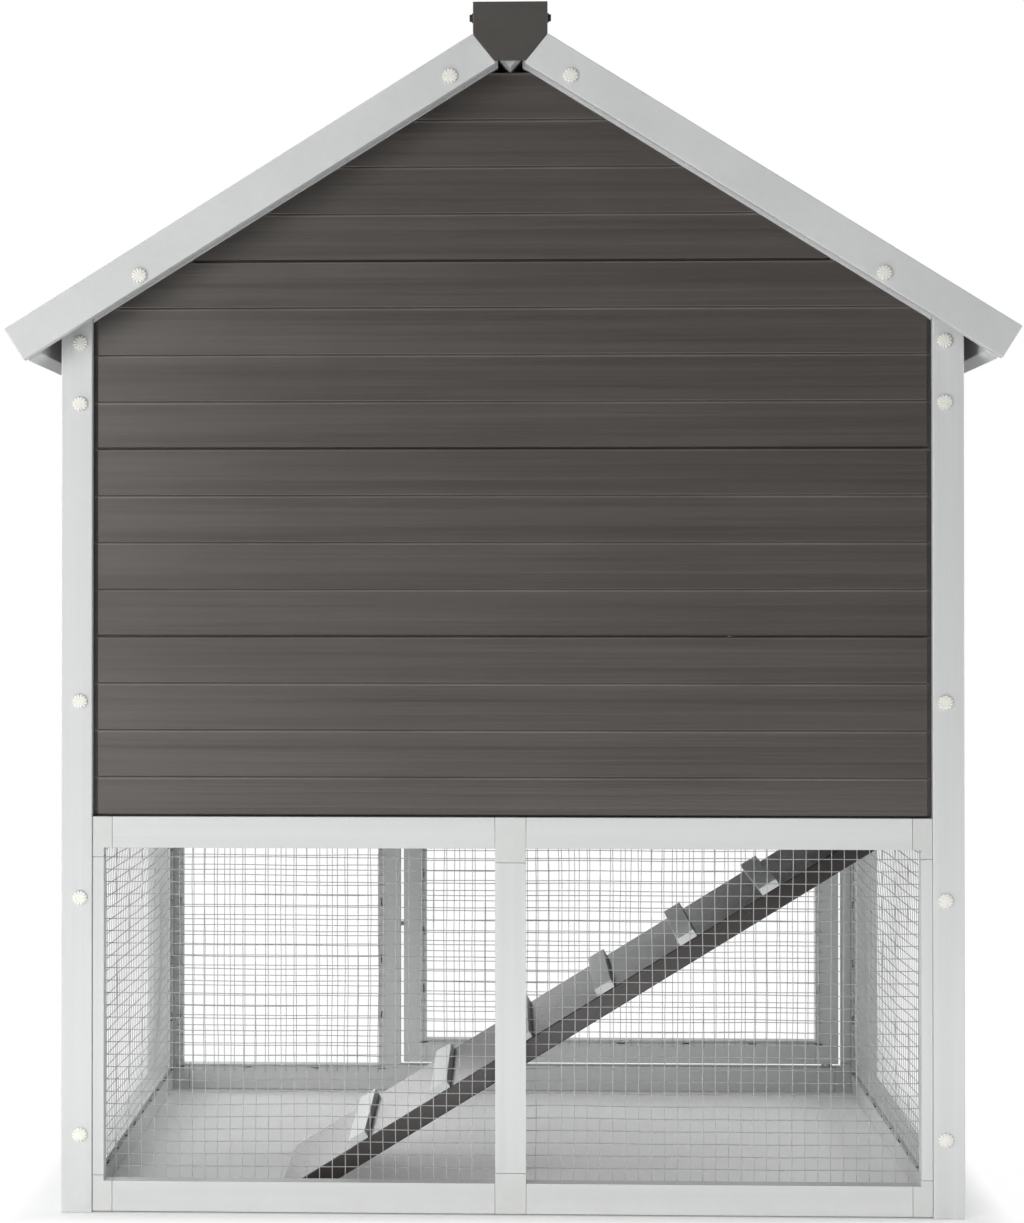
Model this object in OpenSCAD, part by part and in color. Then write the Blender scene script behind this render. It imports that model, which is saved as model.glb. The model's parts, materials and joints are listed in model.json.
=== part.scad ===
// Small chicken coop: a boarded house over an open-bottomed wire run, with a
// gable roof, a ramp and two pivoting front doors. Millimetres, +Z up.
// The plain boarded gable faces -Y, the doors face +Y, the ramp climbs to +X.

/* [Overall] */
// width over the corner posts
coop_w = 893; // [780:1:1080]
// depth over the corner posts
coop_d = 764; // [640:1:920]
// height to the top of the ridge cap
coop_h = 1194; // [1100:1:1440]
// slope of the roof, in degrees
roof_pitch = 32; // [28:0.5:34]

/* [Posts] */
// side of a square corner post
post_w = 31; // [27:1:36]

/* [Run] */
// height of the run frame's top edge
run_h = 393; // [330:1:472]
// clearance under the bottom rails
rail_lift = 1.5; // [1:0.5:8]
// height of a rail's face
rail_h = 30; // [24:1:34]
// thickness of the front and back run frames
frame_t = 20; // [16:1:24]
// how far the front and back frames sit behind the posts' faces
frame_set = 2; // [1:0.5:5]
// thickness of the side run frames
side_t = 22; // [18:1:24]
// how far the side frames sit behind the posts' faces
side_set = 8; // [5:0.5:9]
// visible width of an end stile
stile_w = 11.3; // [9:0.1:16]
// width of the back frame's middle stile
mid_stile_w = 30.6; // [24:0.2:40]
// length of a corner connector along the rail
corner_l = 19.5; // [14:0.5:26]

/* [Wire mesh] */
// spacing of the upright wires
mesh_x = 12.7; // [12:0.1:25.4]
// spacing of the level wires
mesh_z = 12.33; // [12:0.01:25.4]
// thickness of a wire
wire = 0.9; // [0.7:0.1:1.6]
// how far the mesh laps onto its frame
mesh_lap = 8; // [5:0.5:10]

/* [Siding] */
// total thickness of the wall boards
siding_t = 14; // [10:1:16]
// height of one moulded panel of four boards
panel_h = 186.4; // [160:0.2:224]
// how far the siding sits behind the posts' faces
siding_set = 6; // [4:0.5:8]
// width of the shadow gap beside a post
shadow_w = 4.5; // [2:0.5:8]

/* [Roof] */
// thickness of a roof panel
roof_t = 12; // [8:1:14]
// roof overhang beyond the posts' faces at the gables
overhang_y = 40; // [30:1:60]
// how far a bargeboard's tip reaches beyond the posts
eave_reach = 51; // [45:1:70]
// face width of a bargeboard
barge_w = 36.3; // [32:0.1:42]
// thickness of a bargeboard
barge_t = 15; // [10:1:20]
// half width of the ridge cap
cap_hw = 36.5; // [30:0.5:42]

/* [Doors] */
// width of the run door
run_door_w = 531.5; // [440:0.5:540]
// width of the house door
house_door_w = 532; // [420:1:640]
// height of the house door
house_door_h = 399; // [320:1:410]
// gap around a door
door_gap = 4; // [4:0.2:5]
// face width of a door frame bar
door_bar = 28; // [26:0.5:32]
// distance of a pivot from the door's edge
pivot_in = 13.5; // [12:0.1:13.8]
// radius of a pivot pin
pivot_r = 3; // [2:0.1:4]
// radial clearance of a turning or sliding pin
pin_fit = 0.05; // [0.02:0.01:0.1]
// travel of a door bolt
bolt_throw = 10; // [6:0.5:10]

/* [House inside] */
// thickness of the house floor
floor_t = 12; // [9:1:15]
// width of the ramp
ramp_w = 262; // [200:1:320]
// thickness of the ramp board
ramp_t = 20; // [14:1:22]
// slope of the ramp, in degrees
ramp_slope = 31.7; // [28:0.1:33]
// height of a ramp cleat
cleat_h = 8; // [5:0.5:10]
// radius of the roosting bar
roost_r = 16; // [12:1:20]

/* [Hidden] */
fit = 0.3;
touch = 0.2;
half_w = coop_w / 2;
half_d = coop_d / 2;
post_in_x = half_w - post_w;
post_in_y = half_d - post_w;
slope_tan = tan(roof_pitch);
slope_cos = cos(roof_pitch);
slope_sin = sin(roof_pitch);
barge_apex = coop_h - 8.3;
roof_top = barge_apex + 1.8;
roof_under = roof_top - roof_t / slope_cos;
rafter_h = 29;
rafter_low = roof_under - fit - rafter_h;
cap_low = barge_apex - cap_hw * slope_tan;
plate_low = cap_low - 26.4;
plate_hw = cap_hw - 21.1;
beam_low = plate_low - 4.8;
frame_out = half_d - frame_set;
frame_in = frame_out - frame_t;
side_out = half_w - side_set;
side_in = side_out - side_t;
low_top = rail_lift + rail_h;
high_low = run_h - rail_h - 1;
wall_out = half_d - siding_set;
wall_in = wall_out - siding_t;
side_wall_out = half_w - side_set - 4;
side_wall_in = side_wall_out - siding_t;
wall_z = run_h + 0.8;
board_z = run_h - 7.2;
wall_top = beam_low - fit;
board_h = panel_h / 4;
inner_t = siding_t - 6;
run_x = post_in_x - fit;
side_y = post_in_y - fit;
stile_in = run_x - stile_w;
barge_out = half_d + overhang_y;
barge_in = barge_out - barge_t;
barge_l = (half_w + eave_reach - cap_hw) / slope_cos;
floor_top = run_h + 4;
floor_low = floor_top - floor_t;
floor_x = run_x;
floor_y = min(frame_in, wall_in) - fit;
door_r = stile_in - door_gap;
door_l = door_r - run_door_w;
door_z0 = low_top + door_gap;
door_z1 = high_low - door_gap;
mullion_r = door_l - door_gap;
mullion_w = 27;
mullion_l = mullion_r - mullion_w;
hdoor_r = house_door_w / 2;
hdoor_z0 = run_h + door_gap + 0.5;
hdoor_z1 = hdoor_z0 + house_door_h;
case_in = hdoor_r + door_gap;
case_w = 30;
case_out = case_in + case_w;
case_low = hdoor_z1 + door_gap - 0.5;
case_top = case_low + case_w;
pivot_y = frame_out - frame_t / 2;
bolt_r = 3;
bolt_y = frame_out + 6.3;
run_bolt_z = (door_z0 + door_z1) / 2 + 6;
house_bolt_z = hdoor_z0 + house_door_h / 2;
ramp_y0 = -half_d + 75;
ramp_y1 = ramp_y0 + ramp_w;
hole_x0 = 105;
hole_x1 = run_x - 15;
hole_y0 = ramp_y0 - 13;
hole_y1 = ramp_y1 + 12;
ramp_end = hole_x1 - 4;
ramp_tan = tan(ramp_slope);
ramp_cos = cos(ramp_slope);
ramp_sin = sin(ramp_slope);
hinge_x = ramp_end + 1.5;
hinge_z = floor_top + 4.6;
hinge_r = 3.2;
leaf_t = 1.5;
pin_r = 1.5;
ramp_top_z = floor_top - 0.4;
cleat_w = 20;
cleat_step = 97.7;
nest_x = -140;
roost_x = -20;
roost_z = floor_top + 163;
cap_screw_y = [22 - barge_out, 0, barge_out - 22];
eave_z = roof_under - half_w * slope_tan;
post_screw_z = [77.5, run_h - 80.5, run_h + 114.5, eave_z - 91, eave_z - 30.5];
barge_screws = [[41, 23.4], [barge_l - 141, 26.5]];
trim = [0.86, 0.87, 0.86];
dark = [0.34, 0.32, 0.30];
rail_c = [0.84, 0.85, 0.84];
joint_c = [0.80, 0.81, 0.80];
steel = [0.72, 0.73, 0.74];
black = [0.14, 0.14, 0.15];

// ---- helpers ----

// a box between two corners
module box(a, b) {
  translate(a) cube([b[0] - a[0], b[1] - a[1], b[2] - a[2]]);
}

// an outline in X and Z, drawn out from y0 to y1
module across(y0, y1) {
  translate([0, y1, 0]) rotate([90, 0, 0]) linear_extrude(height = y1 - y0) children();
}

// both gable ends: the +Y half is turned half way round
module both_ends() {
  children();
  rotate([0, 0, 180]) children();
}

// both sides: the +X half is mirrored
module both_sides() {
  children();
  mirror([1, 0, 0]) children();
}

// height under a roof line at x
function under(apex, x) = apex - abs(x) * slope_tan;

// outline of one corner post, its top cut to the roof's slope
module post_outline() {
  polygon([[post_in_x, 0], [half_w, 0],
    [half_w, under(roof_under, half_w) - 0.5],
    [post_in_x, under(roof_under, post_in_x) - 0.5]]);
}

module post() {
  color(trim) across(post_in_y, half_d) post_outline();
}

// groove heights between two levels
function board_lines(z0, z1) = [for (i = [1 : 24])
  let (z = board_z + i * board_h) if (z > z0 + 6 && z < z1 - 6) z];

// section of a moulded wall panel: thickness to the left, height up,
// a shadow step at the ends and a groove at every board
function wall_section(z0, z1) = concat(
  [[0, z0 + 0.15], [inner_t, z0 + 0.15], [inner_t, z0 + 1.4], [siding_t, z0 + 1.4]],
  [for (z = board_lines(z0, z1)) for (p = [[0, -1], [-1.5, 0], [0, 1]])
    [siding_t + p[0], z + p[1]]],
  [[siding_t, z1 - 1.4], [inner_t, z1 - 1.4], [inner_t, z1 - 0.15], [0, z1 - 0.15]]);

// a wall panel along X with its face to -Y, the section's zero at the inner face
module wall_panel(x0, x1, z0, z1) {
  translate([x0, -wall_in, 0]) rotate([90, 0, 90]) mirror([1, 0, 0])
    linear_extrude(height = x1 - x0) polygon(wall_section(z0, z1));
}

// the rebate that makes the dark line beside a post
module post_shadow() {
  for (s = [-1, 1])
    box([s * (run_x - shadow_w / 2) - shadow_w / 2 - (s > 0 ? 0 : 1), -wall_out - 1, wall_z - 5],
      [s * (run_x - shadow_w / 2) + shadow_w / 2 + (s > 0 ? 1 : 0), -wall_in - inner_t, coop_h]);
}

// everything under the gable's rafters
module gable_space() {
  across(-wall_out - 1, -wall_in + 1) polygon([[-run_x, 0], [run_x, 0],
    [run_x, under(rafter_low, run_x) - fit], [(rafter_low - wall_top) / slope_tan, wall_top],
    [-(rafter_low - wall_top) / slope_tan, wall_top], [-run_x, under(rafter_low, run_x) - fit]]);
}

module back_panel(k, top) {
  color(dark) intersection() {
    difference() {
      wall_panel(-run_x, run_x, max(wall_z, board_z + k * panel_h), top);
      post_shadow();
    }
    gable_space();
  }
}

// a side wall of three panels, facing +X
module side_wall() {
  eave = under(roof_under, side_wall_out) - 1;
  for (k = [0 : 2]) {
    z0 = max(wall_z, board_z + k * panel_h);
    z1 = k == 2 ? eave : board_z + (k + 1) * panel_h;
    color(dark) translate([side_wall_in, side_y, 0]) rotate([90, 0, 0])
      linear_extrude(height = 2 * side_y) polygon(wall_section(z0, z1));
  }
}

// the front wall's outline right of the door, and the gable above it
module front_side_outline() {
  polygon([[case_out + touch, wall_z], [run_x, wall_z],
    [run_x, under(rafter_low, run_x) - fit],
    [case_out + touch, under(rafter_low, case_out) - fit]]);
}

module front_gable_outline() {
  polygon([[-case_out, case_top + touch], [case_out, case_top + touch],
    [case_out, under(rafter_low, case_out) - fit],
    [(rafter_low - wall_top) / slope_tan, wall_top],
    [-(rafter_low - wall_top) / slope_tan, wall_top],
    [-case_out, under(rafter_low, case_out) - fit]]);
}

module front_wall_side() {
  color(dark) intersection() {
    wall_panel(case_out, run_x + 1, wall_z, coop_h);
    across(-wall_out - 1, -wall_in + 1) front_side_outline();
  }
}

module front_wall_gable() {
  color(dark) intersection() {
    wall_panel(-case_out - 1, case_out + 1, case_top - 10, coop_h);
    across(-wall_out - 1, -wall_in + 1) front_gable_outline();
  }
}

// ---- run frames, drawn at the -Y end ----

// a top and a bottom rail from x0 to x1
module end_rails(x0, x1) {
  color(rail_c) for (z = [rail_lift, high_low])
    box([x0 + touch, -frame_out, z],
      [x1 - touch, -frame_in, z == high_low ? run_h : low_top]);
}

// the back rails stop at the middle tee on both sides
module back_rails() {
  both_sides() end_rails(mid_stile_w / 2, run_x - corner_l);
}

stile_z0 = low_top + 5.5;
stile_z1 = high_low - 9;

module end_stile() {
  color(rail_c) box([stile_in, -frame_out, stile_z0 + touch],
    [run_x, -frame_in, stile_z1 - touch]);
}

module end_corners() {
  color(joint_c) both_sides() {
    union() {
      box([run_x - corner_l, -frame_out, rail_lift], [run_x, -frame_in, low_top]);
      box([stile_in, -frame_out, low_top - 1], [run_x, -frame_in, stile_z0]);
    }
    union() {
      box([run_x - corner_l, -frame_out, high_low], [run_x, -frame_in, run_h]);
      box([stile_in, -frame_out, stile_z1], [run_x, -frame_in, high_low + 1]);
    }
  }
}

mid_z0 = low_top + 10;
mid_z1 = high_low - 13.7;

module mid_stile() {
  color(rail_c) box([-mid_stile_w / 2, -frame_out, mid_z0 + touch],
    [mid_stile_w / 2, -frame_in, mid_z1 - touch]);
}

module mid_connectors() {
  color(joint_c) {
    box([-mid_stile_w / 2, -frame_out, rail_lift],
      [mid_stile_w / 2, -frame_in, mid_z0]);
    box([-mid_stile_w / 2, -frame_out, mid_z1],
      [mid_stile_w / 2, -frame_in, run_h]);
  }
}

// side frames, drawn at +X
module side_frame() {
  color(rail_c) {
    for (z = [rail_lift, high_low])
      box([side_in, -side_y + corner_l + touch, z],
        [side_out, side_y - corner_l - touch, z == high_low ? run_h : low_top]);
    for (s = [-1, 1])
      box([side_in, s * side_y - (s > 0 ? corner_l : 0), stile_z0 + touch],
        [side_out, s * side_y + (s > 0 ? 0 : corner_l), stile_z1 - touch]);
  }
}

module side_corners() {
  color(joint_c) for (s = [-1, 1]) {
    y0 = s > 0 ? side_y - corner_l : -side_y;
    box([side_in, y0, rail_lift], [side_out, y0 + corner_l, stile_z0]);
    box([side_in, y0, stile_z1], [side_out, y0 + corner_l, run_h]);
  }
}

// a wire panel lying against y = 0, from x0 to x1 and z0 to z1: its level wires
// lie behind the upright ones, and a border wire joins them all
module wires(x0, x1, z0, z1) {
  nx = floor((x1 - x0 - 4) / mesh_x);
  nz = floor((z1 - z0 - 4) / mesh_z);
  cx = (x0 + x1 - nx * mesh_x - wire) / 2;
  cz = (z0 + z1 - nz * mesh_z - wire) / 2;
  union() {
    for (i = [0 : nx])
      box([cx + i * mesh_x, 0.01, z0], [cx + i * mesh_x + wire, wire, z1]);
    for (i = [0 : nz])
      box([x0, wire + 0.02, cz + i * mesh_z], [x1, 2 * wire, cz + i * mesh_z + wire]);
    for (x = [x0, x1 - wire])
      box([x, 0.01, z0], [x + wire, 2 * wire, z1]);
    for (z = [z0, z1 - wire])
      box([x0, 0.01, z], [x1, 2 * wire, z + wire]);
  }
}

mesh_z0 = low_top - mesh_lap;
mesh_z1 = high_low + mesh_lap;

module back_wires() {
  color(steel) translate([0, -frame_in, 0])
    wires(-stile_in - mesh_lap, stile_in + mesh_lap, mesh_z0, mesh_z1);
}

module side_wires() {
  end = side_y - corner_l + mesh_lap;
  color(steel) translate([side_in, 0, 0]) rotate([0, 0, 90])
    wires(-end, end, mesh_z0, mesh_z1);
}

// wires on the inner side of a +Y frame
module front_wires(x0, x1, z0, z1) {
  color(steel) translate([0, frame_in, 0]) rotate([0, 0, 180])
    wires(-x1, -x0, z0, z1);
}

module front_stiles() {
  color(rail_c) {
    for (s = [-1, 1])
      box([s > 0 ? stile_in : -run_x, frame_in, stile_z0 + touch],
        [s > 0 ? run_x : -stile_in, frame_out, stile_z1 - touch]);
    box([mullion_l, frame_in, low_top + touch],
      [mullion_r, frame_out, high_low - touch]);
  }
}

// ---- roof ----

// a point on the bargeboard: a along the slope from the ridge end, b below the top
function barge_at(a, b) = [cap_hw + a * slope_cos - b * slope_sin,
  cap_low - a * slope_sin - b * slope_cos];

module bargeboard() {
  color(trim) across(-barge_out, -barge_in) polygon([barge_at(fit, 0),
    barge_at(barge_l, 0), barge_at(barge_l, barge_w), barge_at(fit - 4.3, barge_w)]);
}

roof_end = cap_hw + barge_l * slope_cos - 1;

module roof_panel() {
  color(dark) across(-barge_in + fit, barge_in - fit) polygon([
    [0.5, under(roof_top, 0.5)], [roof_end, under(roof_top, roof_end)],
    [roof_end - roof_t * slope_sin, under(roof_top, roof_end) - roof_t * slope_cos],
    [0.5, under(roof_under, 0.5)]]);
}

eave_in = roof_end - 33;

module eave_rail() {
  color(rail_c) across(-barge_in + fit, barge_in - fit) polygon([
    [eave_in, under(roof_under, eave_in) - touch],
    [eave_in + 12, under(roof_under, eave_in + 12) - touch],
    [eave_in + 12, under(roof_under, eave_in + 12) - 32],
    [eave_in, under(roof_under, eave_in) - 32]]);
}

beam_hw = 12;

module gable_rafter() {
  color(rail_c) across(-frame_out, -frame_in) polygon([
    [beam_hw + touch, under(rafter_low, beam_hw + touch)],
    [run_x, under(rafter_low, run_x)],
    [run_x, under(roof_under, run_x) - fit],
    [beam_hw + touch, under(roof_under, beam_hw + touch) - fit]]);
}

module beam() {
  color(rail_c) across(-barge_in + fit, barge_in - fit) polygon([
    [0, roof_under - fit - 0.4], [-beam_hw, under(roof_under, beam_hw) - fit - 0.4],
    [-beam_hw, beam_low + 14], [0, beam_low], [beam_hw, beam_low + 14],
    [beam_hw, under(roof_under, beam_hw) - fit - 0.4]]);
}

cap_t = 3;
plate_t = 4;

module cap() {
  foot = under(roof_top, cap_hw - cap_t) + 0.5;
  color(dark) across(-barge_out + plate_t + touch, barge_out - plate_t - touch) polygon([
    [-cap_hw, coop_h], [cap_hw, coop_h], [cap_hw, foot], [cap_hw - cap_t, foot],
    [cap_hw - cap_t, coop_h - cap_t], [-cap_hw + cap_t, coop_h - cap_t],
    [-cap_hw + cap_t, foot], [-cap_hw, foot]]);
}

module end_plate() {
  color(dark) across(-barge_out, -barge_out + plate_t) polygon([
    [-cap_hw, coop_h], [-cap_hw, cap_low], [-plate_hw, plate_low],
    [plate_hw, plate_low], [cap_hw, cap_low], [cap_hw, coop_h]]);
}

module cap_screws() {
  color(black) both_sides() for (y = cap_screw_y)
    translate([cap_hw, y, coop_h - 12.5]) rotate([0, 90, 0]) {
      cylinder(h = 1.4, r = 4.8, $fn = 48);
      translate([0, 0, 1.4]) cylinder(h = 2.4, r = 3.6, $fn = 48);
    }
}

// a screw cap: a low disc with a smaller raised centre, drawn along +Z
module screw_cap() {
  cylinder(h = 2.4, r = 7, $fn = 48);
  translate([0, 0, 2.4]) cylinder(h = 1, r = 5.2, $fn = 48);
}

module post_caps() {
  end_x = half_w - side_set - side_t / 2;
  color(trim) both_ends() both_sides() for (z = post_screw_z)
    translate([end_x, -half_d, z]) rotate([90, 0, 0]) screw_cap();
}

module barge_caps() {
  color(trim) both_ends() both_sides() for (p = barge_screws)
    translate([barge_at(p[0], p[1])[0], -barge_out, barge_at(p[0], p[1])[1]])
      rotate([90, 0, 0]) screw_cap();
}

// ---- house inside ----

module floor_board() {
  color(dark) box([-floor_x, -floor_y, floor_low], [hole_x0, floor_y, floor_top]);
}

module floor_strips() {
  color(dark) {
    box([hole_x0 + touch, hole_y1, floor_low], [floor_x, floor_y, floor_top]);
    box([hole_x0 + touch, -floor_y, floor_low], [floor_x, hole_y0, floor_top]);
    box([hole_x1, hole_y0 + touch, floor_low], [floor_x, hole_y1 - touch, floor_top]);
  }
}

module ledgers() {
  color(rail_c) {
    both_ends() box([-floor_x + 20, -floor_y - touch, floor_low - 8],
      [floor_x - 20, -floor_y + 18, floor_low]);
    both_sides() box([floor_x - 18, -floor_y + 20, floor_low - 8],
      [side_in, floor_y - 20, floor_low]);
  }
}

module roost() {
  color(trim) translate([roost_x, wall_in - touch, roost_z]) rotate([90, 0, 0])
    cylinder(h = 2 * (wall_in - touch), r = roost_r, $fn = 64);
}

module roost_saddles() {
  color(joint_c) both_ends_y() difference() {
    box([roost_x - roost_r - 9, -wall_in, roost_z - roost_r - 14],
      [roost_x + roost_r + 9, -wall_in + 16, roost_z]);
    translate([roost_x, -wall_in + 20, roost_z]) rotate([90, 0, 0])
      cylinder(h = 24, r = roost_r + fit, $fn = 64);
  }
}

module both_ends_y() {
  children();
  mirror([0, 1, 0]) children();
}

module nests() {
  color(trim) {
    box([nest_x, -floor_y, floor_top], [nest_x + 12, floor_y, floor_top + 120]);
    box([-side_wall_in, -6, floor_top], [nest_x - touch, 6, floor_top + 200]);
  }
}

// ---- doors ----

// two pivot pins with collars, between the levels lo and hi of a door
module pivot_pair(x, lo, hi, below, above) {
  translate([x, pivot_y, 0]) {
    union() {
      translate([0, 0, below]) cylinder(h = lo - fit - below, r = 6.7, $fn = 48);
      translate([0, 0, below]) cylinder(h = lo - below + 19, r = pivot_r, $fn = 48);
    }
    union() {
      translate([0, 0, hi + fit]) cylinder(h = above - hi - fit, r = 6.7, $fn = 48);
      translate([0, 0, hi - 19]) cylinder(h = above - hi + 19, r = pivot_r, $fn = 48);
    }
  }
}

// the bores in a door for the pivot pins
module pivot_bores(x, lo, hi) {
  translate([x, pivot_y, lo - 1]) cylinder(h = 22, r = pivot_r + pin_fit, $fn = 48);
  translate([x, pivot_y, hi - 21]) cylinder(h = 22, r = pivot_r + pin_fit, $fn = 48);
}

// four bars of a door frame between x0, x1, z0 and z1
module door_bars(x0, x1, z0, z1) {
  color(rail_c) {
    box([x0, frame_in, z0], [x0 + door_bar, frame_out, z1]);
    difference() {
      box([x1 - door_bar, frame_in, z0], [x1, frame_out, z1]);
      pivot_bores(x1 - pivot_in, z0, z1);
    }
    for (z = [z0, z1 - door_bar])
      box([x0 + door_bar + touch, frame_in, z],
        [x1 - door_bar - touch, frame_out, z + door_bar]);
  }
}

// a crossed brace inside a frame opening
module cross_brace(w, h, y0, y1) {
  long = sqrt(w * w + h * h);
  tilt = atan(h / w);
  color(rail_c) intersection() {
    box([-w / 2, y0, -h / 2], [w / 2, y1, h / 2]);
    union() {
      rotate([0, -tilt, 0]) box([-long, y0 - 1, -13], [long, y1 + 1, 13]);
      rotate([0, tilt, 0]) box([-long, y0 - 1, -13], [long, y1 + 1, 13]);
    }
  }
}

module house_door_bars() {
  door_bars(-hdoor_r, hdoor_r, hdoor_z0, hdoor_z1);
  translate([0, 0, house_bolt_z])
    cross_brace(house_door_w - 2 * (door_bar + touch), house_door_h - 2 * (door_bar + touch),
      frame_out - 6, frame_out - 0.5);
}

module house_door_infill() {
  in_x = hdoor_r - door_bar - touch;
  color(dark) box([-in_x, frame_out - 16, hdoor_z0 + door_bar + touch],
    [in_x, frame_out - 6 - touch, hdoor_z1 - door_bar - touch]);
}

// bolt parts, with x measured from the door's free edge and z from the bolt
module bolt_plate() {
  color(black) difference() {
    union() {
      box([0.5, frame_out, -9], [door_bar - 1, frame_out + 1.6, 9]);
      box([1.5, frame_out + 1, -6.5], [11, frame_out + 11.5, 6.5]);
    }
    translate([-1, bolt_y, 0]) rotate([0, 90, 0])
      cylinder(h = 20, r = bolt_r + pin_fit, $fn = 48);
  }
}

module bolt_rod() {
  tip = -door_gap - 1.2;
  color(steel) union() {
    translate([tip, bolt_y, 0]) rotate([0, 90, 0])
      cylinder(h = 26.5 - tip, r = bolt_r, $fn = 48);
    translate([24, bolt_y, -17]) cylinder(h = 17, r = 2.3, $fn = 48);
  }
}

// a strap bent over the bolt's path on a screwed plate
module keeper() {
  far = -door_gap - 13;
  near = -door_gap - 2.5;
  color(black) union() {
    box([-door_gap - 22, frame_out, -9], [-door_gap - 2, frame_out + 1.6, 9]);
    difference() {
      box([far, frame_out + 1, -5.6], [near, frame_out + 11.5, 5.6]);
      box([far - 1, frame_out - 1, -bolt_r - 0.8], [near + 1, frame_out + 9.9, bolt_r + 0.8]);
    }
  }
}

// ---- ramp ----

// height of the ramp's upper face at x
function ramp_z(x) = ramp_top_z - (ramp_end - x) * ramp_tan;
ramp_foot = ramp_end - (ramp_top_z - 6.4) / ramp_tan;
ramp_back = ramp_end - (ramp_top_z - ramp_t / ramp_cos - 0.5) / ramp_tan;

module ramp() {
  color(dark) across(ramp_y0, ramp_y1) polygon([
    [ramp_foot, 0.5], [ramp_back, 0.5],
    [ramp_end, ramp_top_z - ramp_t / ramp_cos], [ramp_end, ramp_top_z],
    [ramp_foot, ramp_z(ramp_foot)]]);
}

// cleats across the ramp, the first one near the foot
module cleats() {
  first = (ramp_end - ramp_foot - 74.6) / ramp_cos;
  color(trim) translate([ramp_end, 0, ramp_top_z]) rotate([0, -ramp_slope, 0])
    for (i = [0 : 6])
      box([-first + i * cleat_step, ramp_y0, 0.02],
        [-first + i * cleat_step + cleat_w, ramp_y1, cleat_h]);
}

hinge_ys = [ramp_y0 + 50, ramp_y1 - 50];

// moving leaf with its middle knuckle, bored for the pin
module ramp_leaf(y) {
  difference() {
    union() {
      translate([ramp_end, 0, ramp_top_z]) rotate([0, -ramp_slope, 0])
        box([-34, y - 6.5, 0], [0.2, y + 6.5, leaf_t]);
      box([ramp_end - 1.2, y - 6.5, ramp_top_z + 0.2], [hinge_x, y + 6.5, hinge_z - 1]);
      translate([hinge_x, y + 6.5, hinge_z]) rotate([90, 0, 0])
        cylinder(h = 13, r = hinge_r, $fn = 48);
    }
    translate([hinge_x, y + 10, hinge_z]) rotate([90, 0, 0])
      cylinder(h = 20, r = pin_r + pin_fit, $fn = 48);
  }
}

// fixed leaf on the floor with its two knuckles and the pin
module ramp_base(y) {
  box([hinge_x + hinge_r + 0.6, y - 20, floor_top], [floor_x - 1, y + 20, floor_top + leaf_t]);
  for (s = [-1, 1]) {
    box([hinge_x + 2.6, y + s * 13.4 - 6.6, floor_top],
      [hinge_x + hinge_r + 2, y + s * 13.4 + 6.6, floor_top + leaf_t]);
    box([hinge_x, y + s * 13.4 - 6.6, hinge_z - 3],
      [hinge_x + hinge_r + 1.2, y + s * 13.4 + 6.6, hinge_z - 1]);
    box([hinge_x + 2.6, y + s * 13.4 - 6.6, floor_top + 1],
      [hinge_x + hinge_r + 1.2, y + s * 13.4 + 6.6, hinge_z - 1]);
    translate([hinge_x, y + s * 13.4 + 6.6, hinge_z]) rotate([90, 0, 0])
      cylinder(h = 13.2, r = hinge_r, $fn = 48);
  }
  translate([hinge_x, y + 20, hinge_z]) rotate([90, 0, 0])
    cylinder(h = 40, r = pin_r, $fn = 48);
}

// ---- nodes ----

mirror([1, 0, 0]) mirror([0, 1, 0]) post();  // post_back_left
mirror([0, 1, 0]) post();  // post_back_right
mirror([1, 0, 0]) post();  // post_front_left
post();  // post_front_right
back_panel(0, board_z + panel_h);  // back_siding_low
back_panel(1, board_z + 2 * panel_h);  // back_siding_mid
back_panel(2, board_z + 3 * panel_h);  // back_siding_high
back_panel(3, wall_top + 2);  // back_siding_gable
mirror([1, 0, 0]) side_wall();  // left_siding
side_wall();  // right_siding
rotate([0, 0, 180]) both_sides() front_wall_side();  // front_siding_sides
rotate([0, 0, 180]) front_wall_gable();  // front_siding_gable
house_door_casing();
back_rails();  // back_run_rails
back_run_stiles();
back_run_connectors();
back_wires();  // back_run_mesh
mirror([1, 0, 0]) side_frame();  // left_run_frame
mirror([1, 0, 0]) side_wires();  // left_run_mesh
side_frame();  // right_run_frame
side_wires();  // right_run_mesh
both_sides() side_corners();  // side_run_connectors
rotate([0, 0, 180]) end_rails(-run_x + corner_l, run_x - corner_l);  // front_run_rails
front_stiles();  // front_run_stiles
rotate([0, 0, 180]) end_corners();  // front_run_connectors
front_run_mesh();
mirror([1, 0, 0]) roof_panel();  // roof_panel_left
roof_panel();  // roof_panel_right
both_sides() eave_rail();  // eave_rails
mirror([1, 0, 0]) bargeboard();  // bargeboard_back_left
bargeboard();  // bargeboard_back_right
rotate([0, 0, 180]) bargeboard();  // bargeboard_front_left
mirror([0, 1, 0]) bargeboard();  // bargeboard_front_right
both_ends() both_sides() gable_rafter();  // gable_rafters
beam();  // ridge_beam
cap();  // ridge_cap
both_ends() end_plate();  // ridge_end_plates
cap_screws();  // ridge_screws
post_caps();  // post_screw_caps
barge_caps();  // barge_screw_caps
floor_board();  // house_floor
floor_strips();  // house_floor_strips
ledgers();  // floor_ledgers
roost();  // roost_bar
roost_saddles();  // roost_brackets
nests();  // nest_boards
door_pivots();
bolt_keepers();
door_bars(door_l, door_r, door_z0, door_z1);  // run_door_frame
run_door_mesh();
translate([door_l, 0, run_bolt_z]) bolt_plate();  // run_bolt_plate
translate([door_l, 0, run_bolt_z]) bolt_rod();  // run_bolt
house_door_bars();  // house_door_frame
house_door_infill();  // house_door_panel
translate([-hdoor_r, 0, house_bolt_z]) bolt_plate();  // house_bolt_plate
translate([-hdoor_r, 0, house_bolt_z]) bolt_rod();  // house_bolt
ramp();  // ramp_board
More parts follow.
